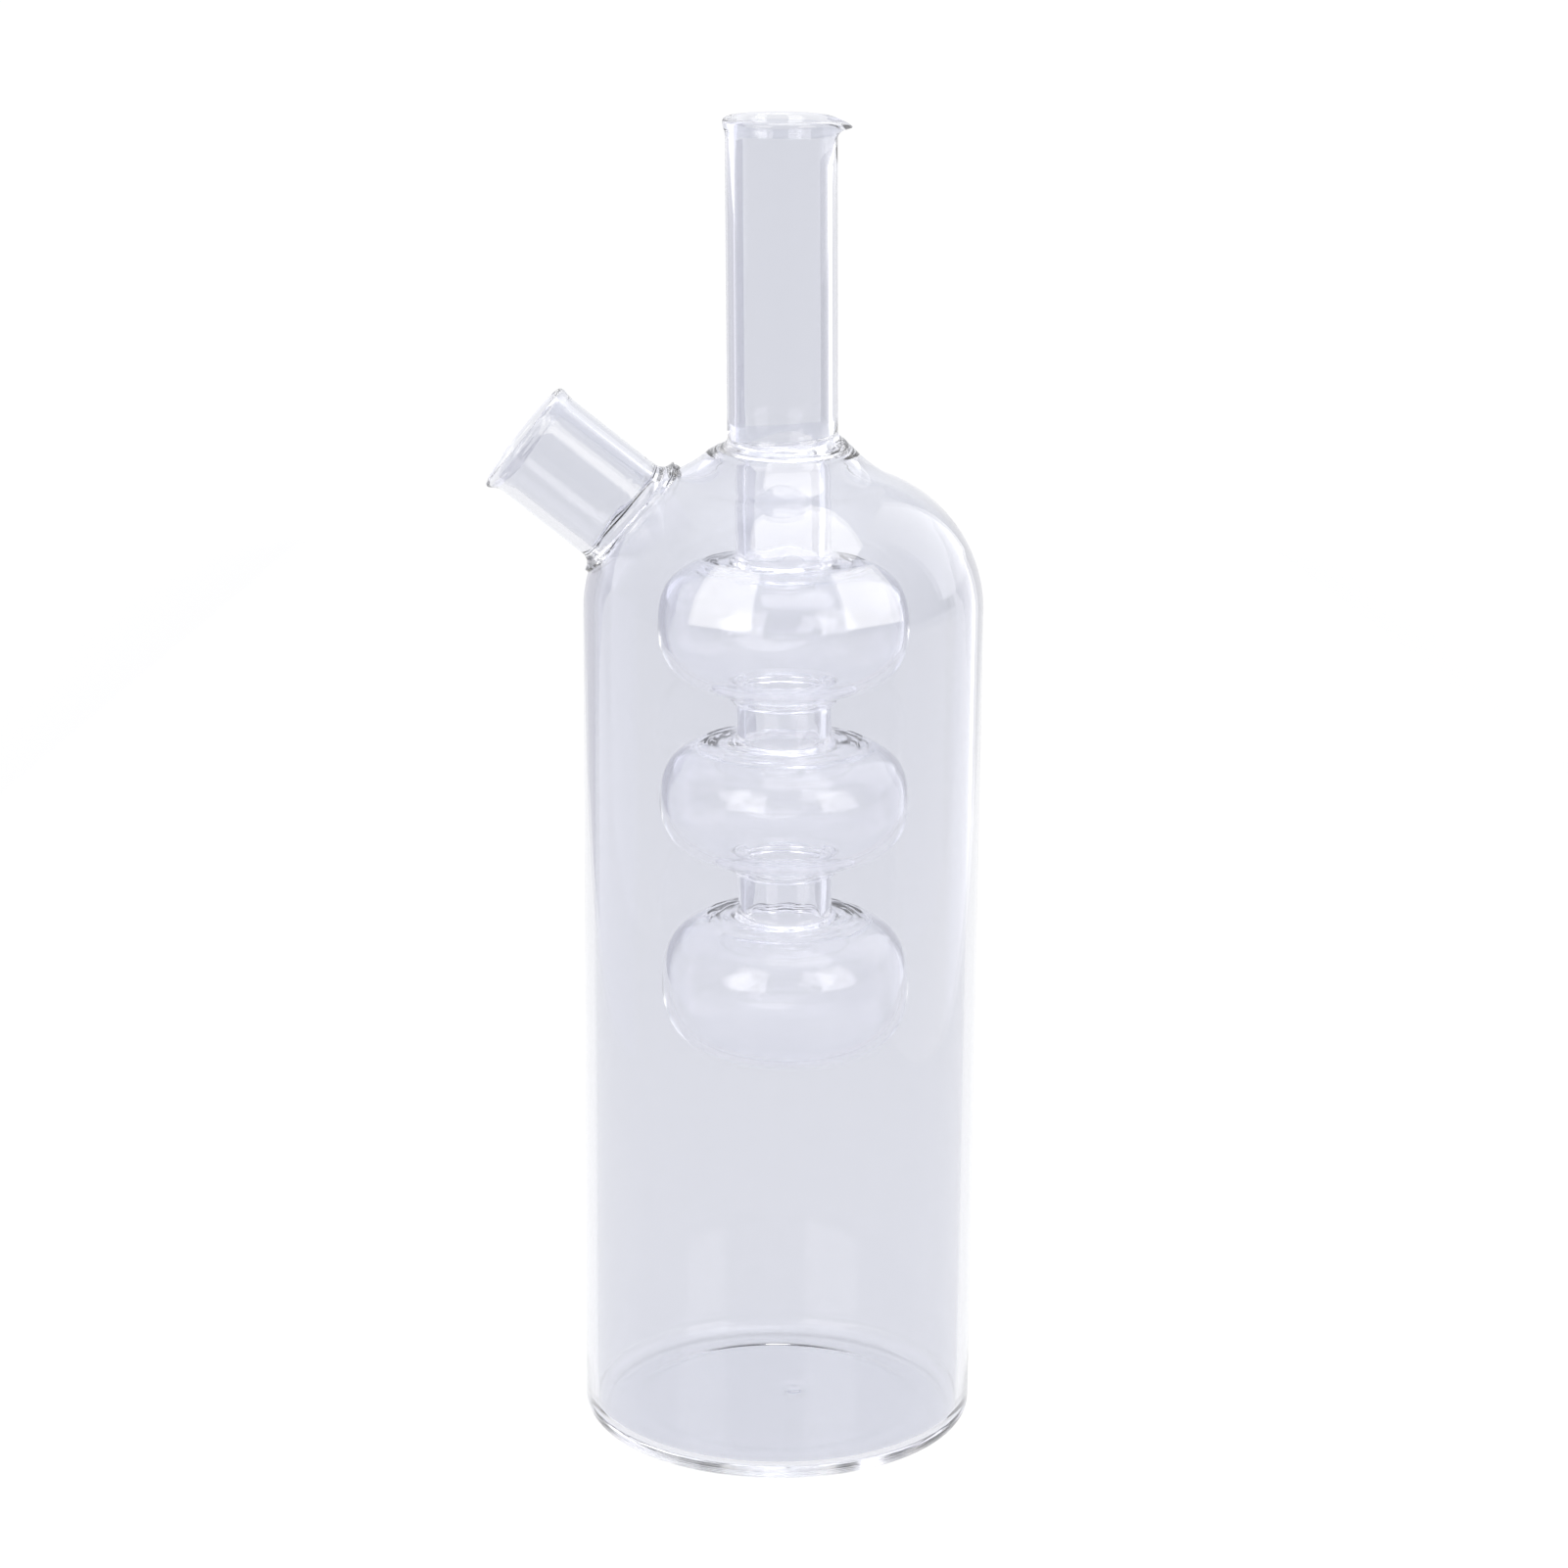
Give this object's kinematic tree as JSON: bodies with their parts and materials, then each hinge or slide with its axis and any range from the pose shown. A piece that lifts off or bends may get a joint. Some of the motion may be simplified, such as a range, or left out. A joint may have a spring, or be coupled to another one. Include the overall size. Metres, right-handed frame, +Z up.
{
  "type": "dual oil and vinegar dispenser",
  "caption": "Clear glass cruet with a bulbed inner vessel under its tall neck and a short slanted spout on the shoulder of the outer bottle.",
  "frame": {"origin": "on the body's axis, in the plane that the foot ring stands on", "axes": "+Z up along the body's axis; the side spout points to -X and slants up; the neck's pouring lip points to +X"},
  "size_m": [0.0992, 0.08, 0.269],
  "materials": {
    "clear_glass": "polished clear borosilicate"
  },
  "bodies": {
    "root": {"base": "clear_glass", "body_wall": "clear_glass", "shoulder": "clear_glass", "neck_seal": "clear_glass", "neck_tube": "clear_glass", "spout_seal": "clear_glass", "side_spout": "clear_glass", "stem_tube": "clear_glass", "upper_bulb_seal": "clear_glass", "upper_bulb": "clear_glass", "upper_link_seal": "clear_glass", "upper_link": "clear_glass", "middle_bulb_seal": "clear_glass", "middle_bulb": "clear_glass", "lower_link_seal": "clear_glass", "lower_link": "clear_glass", "lower_bulb_seal": "clear_glass", "lower_bulb": "clear_glass"}
  },
  "joints": []
}
